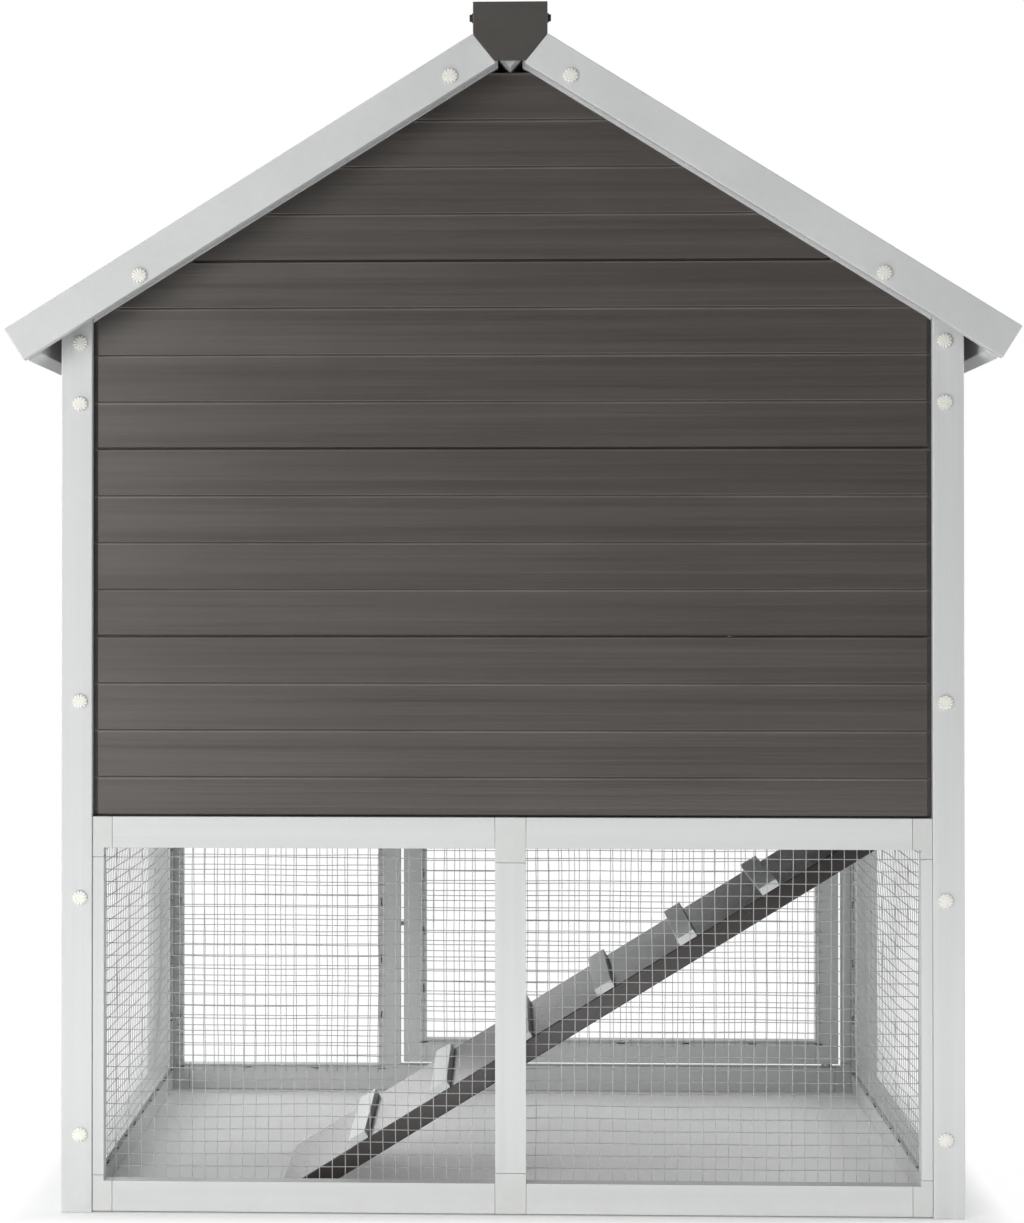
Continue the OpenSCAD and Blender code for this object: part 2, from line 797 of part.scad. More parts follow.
cleats();  // ramp_cleats
ramp_hinge_leaves();
ramp_hinge_base();

module house_door_casing() {
  color(rail_c) {
    both_sides() box([case_in, frame_in, run_h], [case_out, frame_out, case_low - touch]);
    box([-case_out, frame_in, case_low], [case_out, frame_out, case_top]);
  }
}

module back_run_stiles() {
  both_sides() end_stile();
  mid_stile();
}

module back_run_connectors() {
  end_corners();
  mid_connectors();
}

module front_run_mesh() {
  front_wires(-stile_in - mesh_lap, mullion_l + mesh_lap, mesh_z0, mesh_z1);
}

module run_door_mesh() {
  front_wires(door_l + door_bar - mesh_lap, door_r - door_bar + mesh_lap,
    door_z0 + door_bar - mesh_lap, door_z1 - door_bar + mesh_lap);
}

module door_pivots() {
  color(steel) {
    pivot_pair(door_r - pivot_in, door_z0, door_z1, low_top, high_low);
    pivot_pair(hdoor_r - pivot_in, hdoor_z0, hdoor_z1, run_h, case_low);
  }
}

module bolt_keepers() {
  translate([door_l, 0, run_bolt_z]) keeper();
  translate([-hdoor_r, 0, house_bolt_z]) keeper();
}

module ramp_hinge_leaves() {
  color(black) for (y = hinge_ys) ramp_leaf(y);
}

module ramp_hinge_base() {
  color(black) for (y = hinge_ys) ramp_base(y);
}
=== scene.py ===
import json
import math

import bpy
from mathutils import Matrix, Vector


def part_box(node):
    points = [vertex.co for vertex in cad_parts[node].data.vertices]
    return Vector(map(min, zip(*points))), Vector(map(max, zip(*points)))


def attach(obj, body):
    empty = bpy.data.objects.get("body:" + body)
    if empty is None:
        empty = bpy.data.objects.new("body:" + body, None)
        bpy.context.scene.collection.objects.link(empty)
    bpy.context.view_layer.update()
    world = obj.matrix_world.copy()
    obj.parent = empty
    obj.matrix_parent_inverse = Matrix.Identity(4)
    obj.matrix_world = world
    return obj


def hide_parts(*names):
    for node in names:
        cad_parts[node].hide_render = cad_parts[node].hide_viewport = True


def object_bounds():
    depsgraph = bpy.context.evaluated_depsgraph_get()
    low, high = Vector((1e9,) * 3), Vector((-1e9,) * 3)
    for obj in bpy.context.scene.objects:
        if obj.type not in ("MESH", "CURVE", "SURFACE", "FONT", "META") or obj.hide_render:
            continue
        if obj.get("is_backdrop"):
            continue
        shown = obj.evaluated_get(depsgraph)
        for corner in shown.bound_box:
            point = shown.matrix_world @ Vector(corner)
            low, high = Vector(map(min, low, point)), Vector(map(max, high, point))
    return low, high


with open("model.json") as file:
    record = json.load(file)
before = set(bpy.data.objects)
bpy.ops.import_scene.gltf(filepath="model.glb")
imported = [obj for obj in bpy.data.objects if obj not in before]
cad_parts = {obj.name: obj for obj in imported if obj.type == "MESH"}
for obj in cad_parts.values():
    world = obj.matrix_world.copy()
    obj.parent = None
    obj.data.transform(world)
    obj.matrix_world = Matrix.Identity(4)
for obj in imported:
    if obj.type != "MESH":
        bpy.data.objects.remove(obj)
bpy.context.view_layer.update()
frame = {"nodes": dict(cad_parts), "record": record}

record = frame["record"]
body_of = {n: b for b, ns in record["behaviour"]["bodies"].items() for n in ns}
slot_of = {p["node"]: p["material_slot"] for p in record["subparts"]}
scene = bpy.context.scene

# ---- camera ----

EYE = (0.0023, -3.447, 0.6303)
TILT, TURN = math.radians(90.488), math.radians(2.145)
LENS_MM = 91.13
SHIFT_X, SHIFT_Y = 0.0942, -0.0492

lens = bpy.data.cameras.new("camera")
viewer = bpy.data.objects.new("camera", lens)
scene.collection.objects.link(viewer)
viewer.location = EYE
viewer.rotation_euler = (TILT, 0, TURN)
lens.lens = LENS_MM
lens.shift_x = SHIFT_X
lens.shift_y = SHIFT_Y
scene.camera = viewer
scene.view_settings.view_transform = "Standard"


# ---- handling meshes ----

MERGE = 0.000004                    # points nearer than this become one
LEVEL = math.radians(0.4)           # faces that turn less than this are one face
SHARP = math.radians(28)            # edges that turn more than this are rounded
ROUND_TURN, CRISP_TURN = 40, 1      # degrees that the shading runs smoothly over


def clear():
    bpy.ops.object.select_all(action="DESELECT")


def hold(piece):
    clear()
    piece.select_set(True)
    bpy.context.view_layer.objects.active = piece


def open_mesh(piece):
    """Edit mode with everything selected."""
    hold(piece)
    bpy.context.tool_settings.mesh_select_mode = (True, False, False)
    bpy.ops.object.mode_set(mode="EDIT")
    bpy.ops.mesh.select_all(action="SELECT")


def close_mesh():
    bpy.ops.object.mode_set(mode="OBJECT")


def pick(piece, kind, test):
    """Edit mode with only the points, edges or faces that pass the test selected."""
    mesh = piece.data
    for parts in (mesh.vertices, mesh.edges, mesh.polygons):
        parts.foreach_set("select", [False] * len(parts))
    if kind == "VERT":
        for v in mesh.vertices:
            v.select = bool(test(v.co))
    elif kind == "EDGE":
        for e in mesh.edges:
            a, b = (mesh.vertices[i].co for i in e.vertices)
            e.select = bool(test(a, b))
    else:
        for f in mesh.polygons:
            f.select = bool(test(f.center, f.normal))
    hold(piece)
    bpy.context.tool_settings.mesh_select_mode = tuple(
        kind == k for k in ("VERT", "EDGE", "FACE"))
    bpy.ops.object.mode_set(mode="EDIT")


def slide(by):
    bpy.ops.transform.translate(value=by)


def narrow(share):
    """Draws what is selected in towards its middle, at its own level."""
    bpy.ops.transform.resize(value=(share, share, 1))


def raise_face(rise):
    bpy.ops.mesh.extrude_region_move(TRANSFORM_OT_translate={"value": (0, 0, rise)})


def faces_up(centre, normal):
    return normal.z > 0.9


def cut(point, normal):
    bpy.ops.mesh.select_all(action="SELECT")
    bpy.ops.mesh.bisect(plane_co=point, plane_no=normal)


def soften(piece, width, steps=2):
    """Rounds every sharp edge by the same width."""
    hold(piece)
    edge = piece.modifiers.new("edge", "BEVEL")
    edge.width = width
    edge.segments = steps
    edge.limit_method = "ANGLE"
    edge.angle_limit = SHARP
    bpy.ops.object.modifier_apply(modifier="edge")


def smooth(piece, turn=ROUND_TURN):
    """Smooth across rounded edges, with the broad faces kept flat."""
    hold(piece)
    bpy.ops.object.shade_smooth_by_angle(angle=math.radians(turn))
    broad = piece.modifiers.new("broad", "WEIGHTED_NORMAL")
    broad.keep_sharp = True
    bpy.ops.object.modifier_apply(modifier="broad")


def settle(piece):
    """Puts the piece's place and turn into its mesh."""
    hold(piece)
    bpy.ops.object.transform_apply(location=True, rotation=True, scale=True)


def turned_disc(sides, radius, height):
    """A round blank that stands on the ground at the middle."""
    bpy.ops.mesh.primitive_cylinder_add(
        vertices=sides, radius=radius, depth=height, location=(0, 0, height / 2))
    blank = bpy.context.object
    settle(blank)
    return blank


def traced(node, name):
    """A clean copy of a CAD node's mesh: merged, with flat faces whole."""
    piece = bpy.data.objects.new(name, frame["nodes"][node].data.copy())
    scene.collection.objects.link(piece)
    piece.data.materials.clear()
    hold(piece)
    bpy.ops.mesh.customdata_custom_splitnormals_clear()
    open_mesh(piece)
    bpy.ops.mesh.remove_doubles(threshold=MERGE)
    bpy.ops.mesh.dissolve_limited(angle_limit=LEVEL)
    close_mesh()
    return piece


def extent(piece):
    co = [v.co for v in piece.data.vertices]
    return (Vector(min(c[i] for c in co) for i in range(3)),
            Vector(max(c[i] for c in co) for i in range(3)))


def solids_of(node):
    """The lowest and highest corners of each separate solid in a CAD node."""
    whole = traced(node, "sorting")
    open_mesh(whole)
    bpy.ops.mesh.separate(type="LOOSE")
    close_mesh()
    found = []
    for part in list(bpy.context.selected_objects):
        found.append(extent(part))
        bpy.data.objects.remove(part)
    return sorted(found, key=lambda c: tuple(round(x, 5) for x in c[0]))


def join(pieces, name):
    hold(pieces[0])
    for p in pieces:
        p.select_set(True)
    bpy.ops.object.join()
    whole = bpy.context.view_layer.objects.active
    whole.name = name
    whole.data.name = name
    return whole


def copies(pattern, places, name):
    """One mesh with the pattern at every place; the pattern itself is used up."""
    made = []
    for place in places:
        one = pattern.copy()
        one.data = pattern.data.copy()
        one.data.transform(place)
        scene.collection.objects.link(one)
        made.append(one)
    bpy.data.objects.remove(pattern)
    return join(made, name)


def show(piece, material, body, slot, *nodes):
    piece.data.materials.clear()
    piece.data.materials.append(material)
    for f in piece.data.polygons:
        f.material_index = 0
    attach(piece, body)
    if nodes:
        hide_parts(*nodes)
    return piece


# ---- shader groups ----

def add(tree, kind, **values):
    node = tree.nodes.new("ShaderNode" + kind)
    for key, value in values.items():
        setattr(node, key, value)
    return node


def group_of(name, inputs, outputs):
    tree = bpy.data.node_groups.new(name, "ShaderNodeTree")
    for label, kind, value in inputs:
        socket = tree.interface.new_socket(
            label, in_out="INPUT", socket_type="NodeSocket" + kind)
        socket.default_value = value
    for label in outputs:
        tree.interface.new_socket(label, in_out="OUTPUT", socket_type="NodeSocketFloat")
    return tree, tree.nodes.new("NodeGroupInput"), tree.nodes.new("NodeGroupOutput")


def on_object(tree):
    return add(tree, "TexCoord").outputs["Object"]


def noise(tree, vector, scale, detail=3.0, rough=0.55):
    n = add(tree, "TexNoise")
    n.inputs["Scale"].default_value = scale
    n.inputs["Detail"].default_value = detail
    n.inputs["Roughness"].default_value = rough
    tree.links.new(vector, n.inputs["Vector"])
    return n.outputs["Fac"]


def stretch(tree, value, low, high, to_low=0.0, to_high=1.0):
    m = add(tree, "MapRange")
    m.inputs["From Min"].default_value = low
    m.inputs["From Max"].default_value = high
    m.inputs["To Min"].default_value = to_low
    m.inputs["To Max"].default_value = to_high
    tree.links.new(value, m.inputs["Value"])
    return m.outputs["Result"]


def maths(tree, how, a, b):
    m = add(tree, "Math", operation=how)
    for i, x in enumerate((a, b)):
        if isinstance(x, (int, float)):
            m.inputs[i].default_value = x
        else:
            tree.links.new(x, m.inputs[i])
    return m.outputs[0]


def weighed(tree, a, share_a, b, share_b):
    """The sum of two values, each times its share."""
    return maths(tree, "ADD", maths(tree, "MULTIPLY", a, share_a),
                 maths(tree, "MULTIPLY", b, share_b))


def make_drawn_lines():
    """Fine lines drawn along a board: broad bands, hair lines and their relief."""
    tree, come, go = group_of("drawn_lines", [
        ("Bands", "Vector", (1.2, 1.2, 60.0)), ("Hairs", "Vector", (5.0, 5.0, 430.0))],
        ["Tone", "Relief", "WearAndHighlight"])
    place = on_object(tree)
    scaled = []
    for label in ("Bands", "Hairs"):
        m = add(tree, "VectorMath", operation="MULTIPLY")
        tree.links.new(place, m.inputs[0])
        tree.links.new(come.outputs[label], m.inputs[1])
        scaled.append(m.outputs[0])
    bands = stretch(tree, noise(tree, scaled[0], 1.0, detail=2.0), 0.34, 0.66)
    hairs = stretch(tree, noise(tree, scaled[1], 1.0, detail=4.0, rough=0.65), 0.25, 0.75)
    tree.links.new(weighed(tree, bands, 0.55, hairs, 0.45), go.inputs["Tone"])
    tree.links.new(hairs, go.inputs["Relief"])
    patches = stretch(tree, noise(tree, place, 7.0, detail=5.0, rough=0.6), 0.35, 0.75)
    tree.links.new(patches, go.inputs["WearAndHighlight"])
    return tree


def make_dust():
    """Dust that settles near the ground, in patches, and fine specks everywhere."""
    tree, come, go = group_of("dust", [("Reach", "Float", 0.12)], ["Mask", "Specks"])
    place = on_object(tree)
    split = add(tree, "SeparateXYZ")
    tree.links.new(place, split.inputs[0])
    height = maths(tree, "DIVIDE", split.outputs["Z"], come.outputs["Reach"])
    low = maths(tree, "SUBTRACT", 1.0, height)
    spots = noise(tree, place, 26.0, detail=6.0, rough=0.7)
    mask = maths(tree, "MULTIPLY", stretch(tree, low, 0.0, 1.0),
                 stretch(tree, spots, 0.35, 0.7))
    tree.links.new(mask, go.inputs["Mask"])
    fine = noise(tree, place, 900.0, detail=2.0, rough=0.5)
    tree.links.new(stretch(tree, fine, 0.3, 0.7), go.inputs["Specks"])
    return tree


drawn_lines = make_drawn_lines()
dust = make_dust()


# ---- finishes ----

def use(tree, group, **values):
    node = add(tree, "Group", node_tree=group)
    for label, value in values.items():
        node.inputs[label].default_value = value
    return node


def blend_colours(tree, factor, a, b):
    m = add(tree, "Mix", data_type="RGBA")
    tree.links.new(factor, m.inputs[0])
    for socket, value in ((m.inputs[6], a), (m.inputs[7], b)):
        if isinstance(value, tuple):
            socket.default_value = (*value, 1.0)
        else:
            tree.links.new(value, socket)
    return m.outputs[2]


def begin(name, roughness, metallic=0.0, specular=0.5):
    material = bpy.data.materials.new(name)
    material.use_nodes = True
    tree = material.node_tree
    shader = tree.nodes["Principled BSDF"]
    shader.inputs["Roughness"].default_value = roughness
    shader.inputs["Metallic"].default_value = metallic
    shader.inputs["Specular IOR Level"].default_value = specular
    return material, tree, shader


def relief(tree, shader, height, distance):
    bump = add(tree, "Bump")
    bump.inputs["Distance"].default_value = distance
    bump.inputs["Strength"].default_value = 1.0
    tree.links.new(height, bump.inputs["Height"])
    tree.links.new(bump.outputs["Normal"], shader.inputs["Normal"])


DUST_SHARE = 0.16
TOP_FROM, TOP_FULL = 0.935, 0.965   # shares of a board's height, where its painted highlight starts
HIGHLIGHT_LEAST, HIGHLIGHT_PATCHY = 0.26, 0.35  # how much painted highlight shows everywhere, and how much in patches
HIGHLIGHT_LIGHTER = 3.2                # times the board's lighter colour, for the painted highlight


def painted_highlight_tops(tree, first, step):
    """A mask for a painted highlight along the upper edge of every board, just under its
    groove, standing in for light caught by the groove's lower side.
    """
    split = add(tree, "SeparateXYZ")
    tree.links.new(on_object(tree), split.inputs[0])
    above = maths(tree, "SUBTRACT", split.outputs["Z"], first)
    boards = maths(tree, "DIVIDE", above, step)
    return stretch(tree, maths(tree, "FRACT", boards, 0.0), TOP_FROM, TOP_FULL)


def board_finish(name, dark, light, rough, bands, hairs, deep, dirt=(0.42, 0.40, 0.36),
                 reach=0.12, specular=0.5, highlight_tops=None):
    """Extruded composite with lines drawn along it, and if asked a painted highlight under
    each groove.
    """
    material, tree, shader = begin(name, sum(rough) / 2, specular=specular)
    lines = use(tree, drawn_lines, Bands=bands, Hairs=hairs)
    soil = use(tree, dust, Reach=reach)
    tone, wear_and_highlight_patches = lines.outputs["Tone"], lines.outputs["WearAndHighlight"]
    colour = blend_colours(tree, tone, dark, light)
    faint = maths(tree, "MULTIPLY", soil.outputs["Mask"], DUST_SHARE)
    colour = blend_colours(tree, faint, colour, dirt)
    # Painted highlight: a lighter band in patches just under each groove, where light would
    # catch the groove's lower side.
    if highlight_tops:
        highlight_strength = maths(tree, "ADD", maths(tree, "MULTIPLY", wear_and_highlight_patches, HIGHLIGHT_PATCHY), HIGHLIGHT_LEAST)
        highlight_mask = maths(tree, "MULTIPLY", painted_highlight_tops(tree, *highlight_tops), highlight_strength)
        colour = blend_colours(tree, highlight_mask, colour,
                               tuple(HIGHLIGHT_LIGHTER * c for c in light))
    tree.links.new(colour, shader.inputs["Base Color"])
    sheen = weighed(tree, tone, 0.6, wear_and_highlight_patches, 0.4)
    tree.links.new(stretch(tree, sheen, 0.0, 1.0, *rough), shader.inputs["Roughness"])
    relief(tree, shader, lines.outputs["Relief"], deep)
    return material


def speck_finish(name, dark, light, rough, deep, metallic=0.0, scale=260.0):
    """Moulded plastic, coated or galvanised metal: fine specks and soft patches."""
    material, tree, shader = begin(name, sum(rough) / 2, metallic)
    place = on_object(tree)
    soil = use(tree, dust, Reach=0.05)
    patches = stretch(tree, noise(tree, place, scale / 10, detail=4.0, rough=0.6), 0.3, 0.7)
    specks = stretch(tree, noise(tree, place, scale, detail=3.0, rough=0.6), 0.3, 0.7)
    both = weighed(tree, patches, 0.6, specks, 0.4)
    tree.links.new(blend_colours(tree, both, dark, light), shader.inputs["Base Color"])
    tree.links.new(stretch(tree, both, 0.0, 1.0, *rough), shader.inputs["Roughness"])
    relief(tree, shader, soil.outputs["Specks"], deep)
    return material


# How often the bands and the hair lines change along x, y and z, per metre.
ALONG = {"x": ((1.3, 40.0, 60.0), (6.0, 300.0, 430.0)),
         "y": ((40.0, 1.3, 60.0), (300.0, 6.0, 430.0)),
         "z": ((60.0, 60.0, 1.3), (430.0, 430.0, 6.0)),
         "any": ((9.0, 9.0, 9.0), (160.0, 160.0, 160.0)),
         "turned": ((46.0, 1.6, 46.0), (330.0, 7.0, 330.0))}


def pale(name, along):
    return board_finish(name, (0.600, 0.612, 0.608), (0.668, 0.680, 0.676), (0.34, 0.50),
                        *ALONG[along], deep=0.00004)


def dark_board(name, along, dark=(0.041, 0.0345, 0.0295), light=(0.074, 0.0630, 0.0550),
               highlight_tops=None):
    return board_finish(name, dark, light, (0.28, 0.39), *ALONG[along], deep=0.00009,
                        dirt=(0.16, 0.145, 0.13), specular=1.0, highlight_tops=highlight_tops)


PANEL_GAP = 0.0003
BOARDS_A_PANEL = 4
low_box, mid_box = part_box("back_siding_low"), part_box("back_siding_mid")
board_h = (mid_box[1].z - mid_box[0].z + PANEL_GAP) / BOARDS_A_PANEL
first_joint = low_box[1].z + PANEL_GAP / 2
# Every height where one board can meet the next, from the run up past the ridge.
board_tops = [first_joint + i * board_h for i in range(-BOARDS_A_PANEL, 18)]

pale_x, pale_y, pale_z = (pale(f"pale_board_{a}", a) for a in "xyz")
pale_slope = pale("pale_board_slope", "any")
# The siding's boards get a painted highlight just under every groove.
wall_x, wall_y = (dark_board(f"dark_wall_{a}", a, highlight_tops=(first_joint, board_h))
                  for a in "xy")
wall_z = dark_board("dark_wall_z", "z")
roof_y = dark_board("dark_roof", "y", (0.046, 0.042, 0.040), (0.064, 0.059, 0.056))
ridge_dark = speck_finish("dark_ridge", (0.060, 0.054, 0.049), (0.072, 0.066, 0.061),
                          (0.42, 0.55), deep=0.00003)
floor_dark = dark_board("dark_floor", "x", (0.075, 0.070, 0.066), (0.105, 0.098, 0.092))
ramp_dark = board_finish("dark_ramp", (0.019, 0.014, 0.0125), (0.029, 0.022, 0.0195),
                         (0.20, 0.30), *ALONG["any"], deep=0.00003,
                         dirt=(0.16, 0.15, 0.14), reach=0.02, specular=0.6)
cleat_pale = pale("pale_cleat", "y")
cap_white = speck_finish("white_cap", (0.78, 0.77, 0.72), (0.86, 0.85, 0.80),
                         (0.34, 0.46), deep=0.00002)
moulded = speck_finish("moulded_pale", (0.590, 0.600, 0.590), (0.640, 0.648, 0.638),
                       (0.38, 0.50), deep=0.00003)
wire_zinc = speck_finish("zinc_wire", (0.34, 0.345, 0.35), (0.52, 0.525, 0.53),
                         (0.42, 0.58), deep=0.00002, metallic=0.35, scale=700.0)
coated = speck_finish("black_coat", (0.012, 0.012, 0.013), (0.028, 0.028, 0.029),
                      (0.35, 0.55), deep=0.00004)
zinc_steel = speck_finish("bright_zinc", (0.42, 0.43, 0.44), (0.60, 0.61, 0.62),
                          (0.26, 0.42), deep=0.00001, metallic=1.0, scale=400.0)
turned_wood = board_finish("turned_wood", (0.36, 0.22, 0.11), (0.56, 0.39, 0.23),
                           (0.45, 0.62), *ALONG["turned"], deep=0.0001)


# ---- shaped boards, rails and mouldings ----

FACE_DEPTH = 0.0001         # points this near the outer face lie on it
LINE_REACH = 0.00002        # points this near a scored line lie on it
GROOVE_WIDTH, GROOVE_DEEP = 0.0024, 0.0012
CREASE_WIDTH, CREASE_DEEP = 0.0060, 0.00007
ROOF_LINE_WIDTH, ROOF_LINE_DEEP = 0.0022, 0.0006


def shaped(node, material, width, steps=2, work=None):
    """A copy of the CAD node with rounded edges and, if asked, a worked face."""
    piece = traced(node, node + "_shaped")
    soften(piece, width, steps)
    if work:
        work(piece)
    smooth(piece, CRISP_TURN if work else ROUND_TURN)
    return show(piece, material, body_of[node], slot_of[node], node)


def outer_face(piece, out):
    return max(v.co.dot(out) for v in piece.data.vertices)


def scored(out, along, places, width, deep):
    """Cuts V grooves in the outer face, at places measured along a direction."""
    out, along = Vector(out), Vector(along)

    def work(piece):
        reach = [v.co.dot(along) for v in piece.data.vertices]
        lines = [p for p in places if min(reach) + width < p < max(reach) - width]
        open_mesh(piece)
        for p in lines:
            for side in (-width / 2, 0.0, width / 2):
                cut(along * (p + side), along)
        close_mesh()
        face = outer_face(piece, out)
        pick(piece, "VERT", lambda co: co.dot(out) > face - FACE_DEPTH and any(
            abs(co.dot(along) - p) < LINE_REACH for p in lines))
        slide(-out * deep)
        close_mesh()
    return work


def siding_face(out):
    """Two faint creases a board, and grooves whose lower side faces up."""
    thirds = [z - board_h * k / 3 for z in board_tops for k in (1, 2)]
    crease = scored(out, (0, 0, 1), thirds, CREASE_WIDTH, CREASE_DEEP)
    out = Vector(out)
    bottom_least, bottom_most, bottom_near = 0.0010, 0.0017, 0.0004
    lift = 0.0006

    def work(piece):
        crease(piece)
        face = outer_face(piece, out)
        pick(piece, "VERT", lambda co: bottom_least < face - co.dot(out) < bottom_most
             and any(abs(co.z - z) < bottom_near for z in board_tops))
        slide((0, 0, lift))
        close_mesh()
    return work


# How far each kind of piece has its edges rounded.
POST_EDGE = 0.0013
BARGE_EDGE = 0.0011
TRIM_EDGE = 0.001
DOOR_EDGE = 0.0009
BEAM_EDGE = 0.0008
RAIL_EDGE = 0.0007
SHEET_EDGE = 0.0006
SIDING_EDGE = 0.0003

for corner in ("back_left", "back_right", "front_left", "front_right"):
    shaped("post_" + corner, pale_z, POST_EDGE, steps=3)
for name, finish, out in (("back_siding_low", wall_x, (0, -1, 0)),
                          ("back_siding_mid", wall_x, (0, -1, 0)),
                          ("back_siding_high", wall_x, (0, -1, 0)),
                          ("back_siding_gable", wall_x, (0, -1, 0)),
                          ("left_siding", wall_y, (-1, 0, 0)),
                          ("right_siding", wall_y, (1, 0, 0)),
                          ("front_siding_sides", wall_x, (0, 1, 0)),
                          ("front_siding_gable", wall_x, (0, 1, 0))):
    shaped(name, finish, SIDING_EDGE, steps=1, work=siding_face(out))
shaped("house_door_casing", pale_z, TRIM_EDGE)
for end in ("back", "front"):
    shaped(end + "_run_rails", pale_x, RAIL_EDGE)
    shaped(end + "_run_stiles", pale_z, RAIL_EDGE)
    shaped(end + "_run_connectors", moulded, RAIL_EDGE)
shaped("side_run_connectors", moulded, RAIL_EDGE)
shaped("left_run_frame", pale_y, RAIL_EDGE)
shaped("right_run_frame", pale_y, RAIL_EDGE)

ROOF_PITCH = math.radians(32)
ROOF_BOARDS = 5
ROOF_EDGE_IN = 0.0005
roof_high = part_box("roof_panel_right")[1]
board_w = (roof_high.x - ROOF_EDGE_IN) / math.cos(ROOF_PITCH) / ROOF_BOARDS
apex = Vector((0, 0, roof_high.z))
for name, side in (("roof_panel_left", -1), ("roof_panel_right", 1)):
    down = Vector((side * math.cos(ROOF_PITCH), 0, -math.sin(ROOF_PITCH)))
    out = Vector((side * math.sin(ROOF_PITCH), 0, math.cos(ROOF_PITCH)))
    joints = [apex.dot(down) + i * board_w for i in range(1, ROOF_BOARDS)]
    shaped(name, roof_y, SHEET_EDGE,
           work=scored(out, down, joints, ROOF_LINE_WIDTH, ROOF_LINE_DEEP))
shaped("eave_rails", pale_y, BEAM_EDGE)
for end in ("back", "front"):
    for side in ("left", "right"):
        shaped(f"bargeboard_{end}_{side}", pale_slope, BARGE_EDGE, steps=3)
shaped("gable_rafters", pale_slope, BEAM_EDGE)
shaped("ridge_beam", pale_y, SHEET_EDGE)
shaped("ridge_cap", ridge_dark, TRIM_EDGE, steps=3)
shaped("ridge_end_plates", ridge_dark, BEAM_EDGE, steps=3)
shaped("house_floor", floor_dark, SHEET_EDGE)
shaped("house_floor_strips", floor_dark, SHEET_EDGE)
shaped("floor_ledgers", pale_x, BEAM_EDGE)
shaped("roost_bar", turned_wood, 0.002, steps=3)
shaped("roost_brackets", moulded, TRIM_EDGE)
shaped("nest_boards", pale_y, TRIM_EDGE)
shaped("run_door_frame", pale_z, DOOR_EDGE)
shaped("house_door_frame", pale_z, DOOR_EDGE)

PANEL_BOARDS = 6
panel_low, panel_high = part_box("house_door_panel")
panel_board = (panel_high.x - panel_low.x) / PANEL_BOARDS
panel_joints = [panel_low.x + i * panel_board for i in range(1, PANEL_BOARDS)]
shaped("house_door_panel", wall_z, 0.0004, steps=1,
       work=scored((0, 1, 0), (1, 0, 0), panel_joints, GROOVE_WIDTH, GROOVE_DEEP))
shaped("ramp_board", ramp_dark, BARGE_EDGE, steps=3)
shaped("ramp_cleats", cleat_pale, DOOR_EDGE)
shaped("door_pivots", zinc_steel, SHEET_EDGE)


# ---- screws and caps ----

def turned_to(axis, sign, place):
    """From a pattern that stands on +Z to one that stands out along an axis."""
    turn = {0: Matrix.Rotation(math.radians(90 * sign), 4, "Y"),
            1: Matrix.Rotation(math.radians(-90 * sign), 4, "X"),
            2: Matrix.Identity(4)}[axis]
    return Matrix.Translation(place) @ turn


def seats(node):
    """Where each disc in a CAD node sits, and the way that it faces."""
    found = []
    for low, high in solids_of(node):
        size, mid = high - low, (low + high) / 2
        axis = min(range(3), key=lambda i: size[i])
        sign = 1 if mid[axis] > 0 else -1
        place = mid.copy()
        place[axis] = low[axis] if sign > 0 else high[axis]
        found.append(turned_to(axis, sign, place))
    return found


PETALS = 12
CAP_RADIUS, CAP_RIM = 0.0073, 0.0022
VALLEY_OUT = 0.86                   # the scallops' low points, as a share of the radius
VALLEY_DROP, VALLEYS_FROM = 0.0007, 0.0038      # the ribs' depth, and where they start
# Each ring up the cap: its size as a share of the ring before it, and its rise.
CAP_RINGS = ((0.92, 0.0005), (0.70, 0.0003), (0.62, -0.0002), (0.55, 0.0001))
BOLT_FLANGE_RADIUS, BOLT_FLANGE_THICK = 0.0047, 0.0014
BOLT_HEAD_RISE, BOLT_DOME_RISE, BOLT_RECESS = 0.0018, 0.0005, 0.0009


def daisy_cap():
    """A moulded screw cap with a scalloped rim and a raised, ribbed centre."""
    around = PETALS * 4
    cap = turned_disc(around, CAP_RADIUS, CAP_RIM)
    turn = math.tau / around

    def valley(co):
        return round(math.atan2(co.y, co.x) / turn) % 4 == 0
    pick(cap, "VERT", valley)
    narrow(VALLEY_OUT)
    close_mesh()
    pick(cap, "FACE", faces_up)
    for share, rise in CAP_RINGS:
        raise_face(rise)
        narrow(share)
    close_mesh()
    pick(cap, "VERT", lambda co: valley(co) and co.z > CAP_RIM - 0.0001
         and co.xy.length > VALLEYS_FROM)
    slide((0, 0, -VALLEY_DROP))
    close_mesh()
    smooth(cap, turn=50)
    return cap


def screw_head(radius, height):
    """A domed head with a crossed recess."""
    around = 24
    head = turned_disc(around, radius, height)
    pick(head, "FACE", faces_up)
    bpy.ops.mesh.inset(thickness=radius * 0.3)
    slide((0, 0, height * 0.25))
    bpy.ops.mesh.inset(thickness=radius * 0.25)
    slide((0, 0, height * 0.05))
    close_mesh()
    crown = radius * 0.45
    turn = math.tau / around

    def arm(co):
        return round(math.atan2(co.y, co.x) / turn) % 6 == 0
    pick(head, "VERT", lambda co: co.z > height * 1.25
         and co.xy.length < crown * 1.05 and not arm(co))
    narrow(0.45)
    close_mesh()
    pick(head, "FACE", lambda centre, normal: faces_up(centre, normal)
         and centre.z > height * 1.29 and centre.xy.length < radius * 0.1)
    bpy.ops.mesh.inset(thickness=radius * 0.03)
    slide((0, 0, -height * 0.5))
    close_mesh()
    smooth(head, turn=35)
    return head


